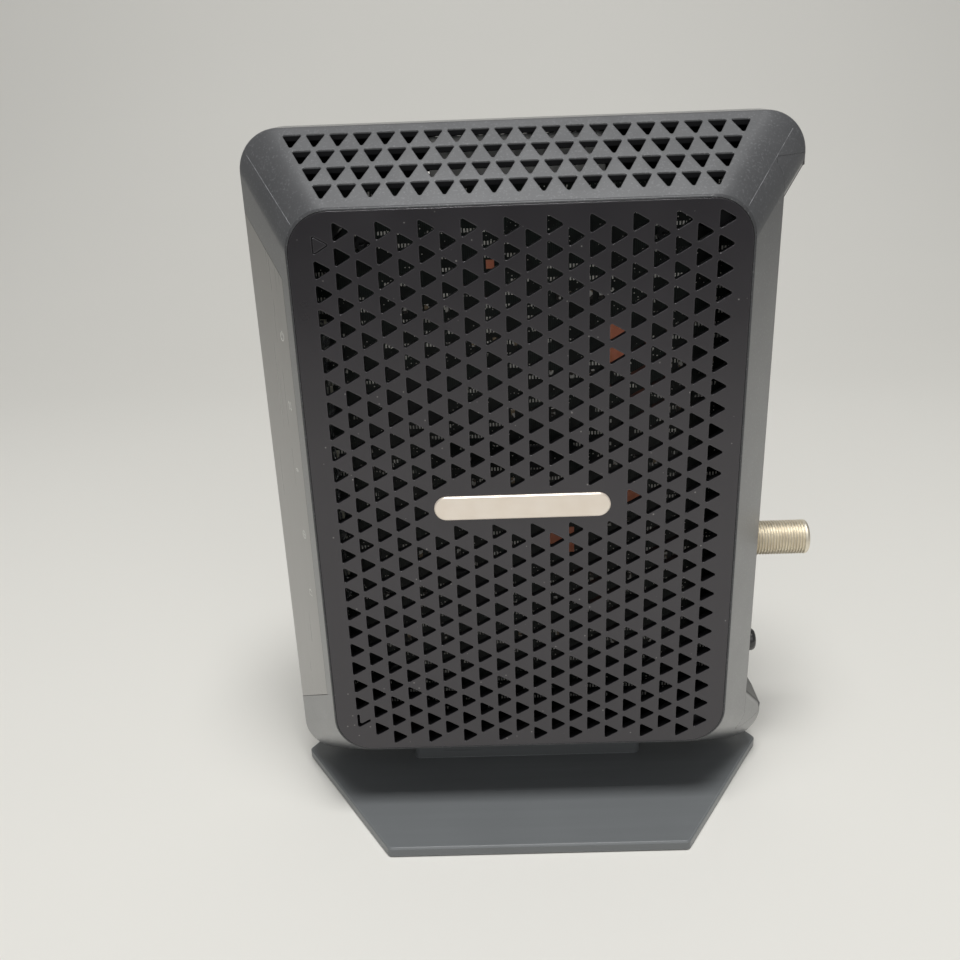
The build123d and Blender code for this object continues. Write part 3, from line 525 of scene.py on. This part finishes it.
# ---------------------------------------------------------------- threaded coaxial barrel
COAX_AXIS = Vector((0, 0, (coax_low.z + coax_high.z) / 2))
THREAD_CREST = 4.7625 * MM       # crest radius of a 3/8-32 thread
THREAD_PITCH = 25.4 / 32 * MM
THREAD_DEPTH = 0.40 * MM
THREAD_START = plate_high.x - 9.2 * MM   # behind the socket plate's face
GROOVE_SHARE = 0.40              # half the width of the groove, as a share of the pitch
GROOVE_FLOOR = 1.15              # more than one, so the groove has a narrow flat floor
PLAIN_TIP = 1.0 * MM             # the thread stops this far from the tip
RUN_OUT = 0.7 * MM               # the length over which it reaches its full depth
BORE_RADIUS = 3.5 * MM
BORE_CHAMFER = 0.25 * MM
TIP_ROUND = 0.9 * MM
TIP_STEPS = 8
PITCH_STEPS = 10                 # rings of vertices for each turn of the thread
TURN_STEPS = 72                  # vertices in each ring
BLOCK_END = plate_high.x - 9.3 * MM
BLOCK_EDGE = 0.5 * MM


def thread_radius(x, angle):
    """Radius of the barrel at a place along it and round it: V grooves between narrow crests."""
    phase = (x / THREAD_PITCH - angle / (2 * math.pi)) % 1.0
    groove = max(0.0, 1.0 - abs(phase - 0.5) / GROOVE_SHARE)
    depth = THREAD_DEPTH * min(1.0, groove * GROOVE_FLOOR)
    tip = coax_high.x - x
    fade = min(1.0, max(0.0, (tip - PLAIN_TIP) / RUN_OUT))
    radius = THREAD_CREST - depth * fade
    if tip < TIP_ROUND:
        drop = TIP_ROUND - math.sqrt(max(0.0, TIP_ROUND ** 2 - (TIP_ROUND - tip) ** 2))
        radius = min(radius, THREAD_CREST - drop)
    return radius


def turned_ring(form, x, radius_at):
    """Ring of vertices round the barrel's axis; the radius is a function of the angle."""
    ring = []
    for step in range(TURN_STEPS):
        angle = 2 * math.pi * step / TURN_STEPS
        radius = radius_at(angle)
        ring.append(form.verts.new((x, radius * math.cos(angle), COAX_AXIS.z + radius * math.sin(angle))))
    return ring


def coax_barrel(form):
    """Helically threaded tube with a rounded nose and an open bore."""
    stations = []
    x = THREAD_START
    while x < coax_high.x - TIP_ROUND:
        stations.append(x)
        x += THREAD_PITCH / PITCH_STEPS
    for index in range(TIP_STEPS + 1):
        bend = math.pi / 2 * index / TIP_STEPS
        stations.append(coax_high.x - TIP_ROUND + TIP_ROUND * math.sin(bend))
    rings = [turned_ring(form, x, lambda angle: thread_radius(x, angle)) for x in stations]
    bore = ((coax_high.x, BORE_RADIUS + BORE_CHAMFER), (coax_high.x - BORE_CHAMFER, BORE_RADIUS),
            (THREAD_START, BORE_RADIUS))
    rings += [turned_ring(form, x, lambda angle: radius) for x, radius in bore]
    for first, second in zip(rings, rings[1:]):
        ring_band(form, first, second)
    ring_band(form, rings[-1], rings[0])


def coax_block(form):
    """Die-cast block behind the socket plate, with softened edges."""
    high = Vector((BLOCK_END, coax_high.y, coax_high.z))
    centre = (coax_low + high) / 2
    size = high - coax_low
    bmesh.ops.create_cube(form, size=1.0, matrix=Matrix.Translation(centre) @ Matrix.Diagonal((*size, 1.0)))
    bmesh.ops.bevel(form, geom=form.edges[:], offset=BLOCK_EDGE, segments=3, affect="EDGES", profile=0.5)


barrel = new_piece("coax_barrel", mesh_from("coax_barrel", coax_barrel), "housing", "nickel")
smooth(barrel.data, 50)
block = new_piece("coax_block", mesh_from("coax_block", coax_block), "housing", "nickel")
smooth(block.data)
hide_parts("coax_shell")
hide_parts("coax_shell")


# ---------------------------------------------------------------- raised icons on the light window
INK_WIDTH = 0.24 * MM
INK_HEIGHT = 0.03 * MM


def bevel_frame(side):
    """Directions on the near bevel of a narrow edge: along it towards the panel, and out of it."""
    rim = side * FACE_HALF_WIDTH + FACE_MIDDLE
    ridge = side * RIDGE_HALF_WIDTH
    along = Vector((rim - ridge, RIDGE_BAND - FACE_Y, 0)).normalized()
    outward = Vector((0, 0, 1)).cross(along) * side
    return along, outward


def on_bevel(side, y):
    """X of the near bevel at a place across the thickness."""
    share = (abs(y) - RIDGE_BAND) / (FACE_Y - RIDGE_BAND)
    return side * RIDGE_HALF_WIDTH * (1 - share) + (side * FACE_HALF_WIDTH + FACE_MIDDLE) * share


def stroke(form, origin, along, outward, points, closed):
    """Raised ribbon of ink along a line given in millimetres on the bevel."""
    count = len(points)
    left, right = [], []
    for index in range(count):
        before = points[index - 1] if index or closed else points[0]
        after = points[(index + 1) % count] if index < count - 1 or closed else points[-1]
        way = Vector((after[0] - before[0], after[1] - before[1])).normalized()
        middle = origin + along * points[index][0] * MM + Vector((0, 0, points[index][1] * MM))
        side = along * -way.y + Vector((0, 0, way.x))
        left.append(middle + side * INK_WIDTH / 2)
        right.append(middle - side * INK_WIDTH / 2)
    rings = []
    for row, lift in ((left, -INK_HEIGHT), (left, INK_HEIGHT), (right, INK_HEIGHT), (right, -INK_HEIGHT)):
        rings.append([form.verts.new(place + outward * lift) for place in row])
    for first, second in zip(rings, rings[1:] + rings[:1]):
        ring_band(form, first, second, closed)
    if not closed:
        for index in (0, -1):
            form.faces.new([ring[index] for ring in rings])


def arc(radius, start, end, steps=24, squash=1.0):
    """Points round a circle, or an upright oval, between two angles in degrees."""
    turns = [math.radians(start + (end - start) * step / steps) for step in range(steps + 1)]
    return [(squash * radius * math.cos(turn), radius * math.sin(turn)) for turn in turns]


# Each mark is a set of strokes, given as points in millimetres and whether the stroke is closed.
POWER_MARK = ((arc(1.05, 125, 415), False), (((0, 0.25), (0, 1.35)), False))
ARROWS_MARK = ((((-0.55, -1.1), (-0.55, 1.0)), False), (((-1.0, 0.5), (-0.55, 1.1), (-0.1, 0.5)), False),
               (((0.65, 1.1), (0.65, -1.0)), False), (((0.2, -0.5), (0.65, -1.1), (1.1, -0.5)), False))
WAVES_MARK = ((arc(1.0, 30, 150), False), (arc(0.5, 30, 150, 12), False))
GLOBE_MARK = ((arc(1.05, 0, 345, 23), True), (arc(1.0, 0, 345, 23, 0.45), True),
              (((-1.0, 0), (1.0, 0)), False))
LINK_MARK = ((((-0.9, -0.7), (0.9, -0.7), (0.9, 0.6), (-0.9, 0.6)), True),
             (((-0.4, 0.95), (0.4, 0.95)), False))
# The height of each mark's middle in millimetres, with the mark.
ICONS = ((137.1, POWER_MARK), (119.8, ARROWS_MARK), (102.3, WAVES_MARK), (85.1, GLOBE_MARK),
         (68.2, LINK_MARK))
ICON_Y = -20.8 * MM


def icon_marks(form):
    """All the marks, one above the other on the near bevel of the light window."""
    along, outward = bevel_frame(-1)
    for height, strokes in ICONS:
        origin = Vector((on_bevel(-1, ICON_Y), ICON_Y, height * MM))
        for points, closed in strokes:
            stroke(form, origin, along, outward, points, closed)


new_piece("window_icons", mesh_from("window_icons", icon_marks), "housing", "window_taupe", icon_material())


# ---------------------------------------------------------------- witness lines at the top corners
# Across the line and outward, in millimetres.
WITNESS_SECTION = ((-0.10, -0.06), (-0.06, 0.01), (0.0, 0.03), (0.06, 0.01), (0.10, -0.06))
WITNESS_STATIONS = (0.04, 0.35, 0.65, 0.93)      # shares of the way from the rim to the ridge


def round_corner(side, degrees):
    """Unit vector out of a top corner, turned this far from straight up."""
    turn = math.radians(degrees)
    return Vector((side * math.sin(turn), 0, math.cos(turn)))


def witness_line(form, side, rim_turn, ridge_turn):
    """Very fine raised line running up a top corner, from the broad face's rim to the ridge."""
    rim_centre = Vector((FACE_MIDDLE + side * (FACE_HALF_WIDTH - FACE_CORNER), -FACE_Y,
                         BODY_MIDDLE + FACE_HALF_HEIGHT - FACE_CORNER))
    ridge_centre = Vector((side * (RIDGE_HALF_WIDTH - RIDGE_CORNER), -RIDGE_BAND,
                           BODY_MIDDLE + RIDGE_HALF_HEIGHT - RIDGE_CORNER))
    rim = rim_centre + round_corner(side, rim_turn) * FACE_CORNER
    ridge = ridge_centre + round_corner(side, ridge_turn) * RIDGE_CORNER
    way = ridge - rim
    across = Vector((side, 0, -1)).normalized()
    outward = way.cross(across).normalized()
    if outward.y > 0:
        outward = -outward
    rings = []
    for share in WITNESS_STATIONS:
        middle = rim + way * share
        rings.append([form.verts.new(middle + across * aside * MM + outward * lift * MM)
                      for aside, lift in WITNESS_SECTION])
    for first, second in zip(rings, rings[1:]):
        ring_band(form, first, second)
    form.faces.new(rings[0])
    form.faces.new(rings[-1])


for label, side, rim_turn, ridge_turn in (("left", -1, 52, 58), ("right", 1, 48, 46)):
    line = mesh_from("witness_" + label, lambda form: witness_line(form, side, rim_turn, ridge_turn))
    new_piece("witness_" + label, line, "housing", "housing_grey", witness_material())


# ---------------------------------------------------------------- floor, light and camera
STAGE_FRONT, STAGE_BACK = -0.55, 1.0
STAGE_HALF_WIDTH, STAGE_HEIGHT = 0.9, 1.1
STAGE_BEND, BEND_STEPS = 0.6, 12

WARM_WHITE = (1.0, 0.995, 0.985)
LAMPS = (                        # name, place, target, size, power
    ("overhead", (0.01, -0.30, 1.30), (0, -0.03, 0.0), (0.50, 0.36), 13.3),
    ("front_fill", (0.0, -1.30, 0.90), (0, 0.0, 0.08), (1.6, 1.0), 4.5),
)
SKY_COLOUR, SKY_STRENGTH = (0.98, 0.99, 1.0, 1), 0.15

CAMERA_PLACE = (-0.00812, -0.25265, 0.19218)
CAMERA_TURN = (68.031, 2.015, 0.247)             # degrees
LENS, SENSOR_WIDTH = 37.24, 36.0                 # millimetres
NEAR_CLIP = 0.01


def make_stage():
    """Pale floor that sweeps up into a backdrop behind the object."""
    form = bmesh.new()
    bend_start = STAGE_BACK - STAGE_BEND
    profile = [(STAGE_FRONT, 0.0), (bend_start, 0.0)]
    for index in range(1, BEND_STEPS + 1):
        turn = math.pi / 2 * index / BEND_STEPS
        profile.append((bend_start + STAGE_BEND * math.sin(turn), STAGE_BEND - STAGE_BEND * math.cos(turn)))
    profile.append((STAGE_BACK, STAGE_HEIGHT))
    left = [form.verts.new((-STAGE_HALF_WIDTH, y, z)) for y, z in profile]
    right = [form.verts.new((STAGE_HALF_WIDTH, y, z)) for y, z in profile]
    ring_band(form, left, right, closed=False)
    bmesh.ops.recalc_face_normals(form, faces=form.faces)
    mesh = bpy.data.meshes.new("stage")
    form.to_mesh(mesh)
    form.free()
    smooth(mesh, 60)
    stage = bpy.data.objects.new("stage", mesh)
    bpy.context.scene.collection.objects.link(stage)
    mesh.materials.append(floor_material())


def area_light(name, place, target, size, power):
    """Rectangular lamp at a place, turned to a target."""
    data = bpy.data.lights.new(name, "AREA")
    data.shape = "RECTANGLE"
    data.size, data.size_y = size
    data.energy = power
    data.color = WARM_WHITE
    lamp = bpy.data.objects.new(name, data)
    lamp.location = place
    lamp.rotation_euler = (Vector(target) - Vector(place)).to_track_quat("-Z", "Y").to_euler()
    bpy.context.scene.collection.objects.link(lamp)


def make_lights():
    """A soft lamp overhead, a little towards the badge side, a broad weak one in front, and a dim sky."""
    for lamp in LAMPS:
        area_light(*lamp)
    world = bpy.data.worlds.new("studio")
    bpy.context.scene.world = world
    world.use_nodes = True
    background = world.node_tree.nodes["Background"]
    background.inputs["Color"].default_value = SKY_COLOUR
    background.inputs["Strength"].default_value = SKY_STRENGTH


def make_camera():
    """Camera in front of the badge side, a little above the object and looking down at it."""
    data = bpy.data.cameras.new("camera")
    data.sensor_width = SENSOR_WIDTH
    data.lens = LENS
    data.clip_start = NEAR_CLIP
    camera = bpy.data.objects.new("camera", data)
    camera.location = CAMERA_PLACE
    camera.rotation_euler = [math.radians(turn) for turn in CAMERA_TURN]
    bpy.context.scene.collection.objects.link(camera)
    bpy.context.scene.camera = camera


make_stage()
make_lights()
make_camera()
bpy.context.scene.view_settings.view_transform = "Standard"
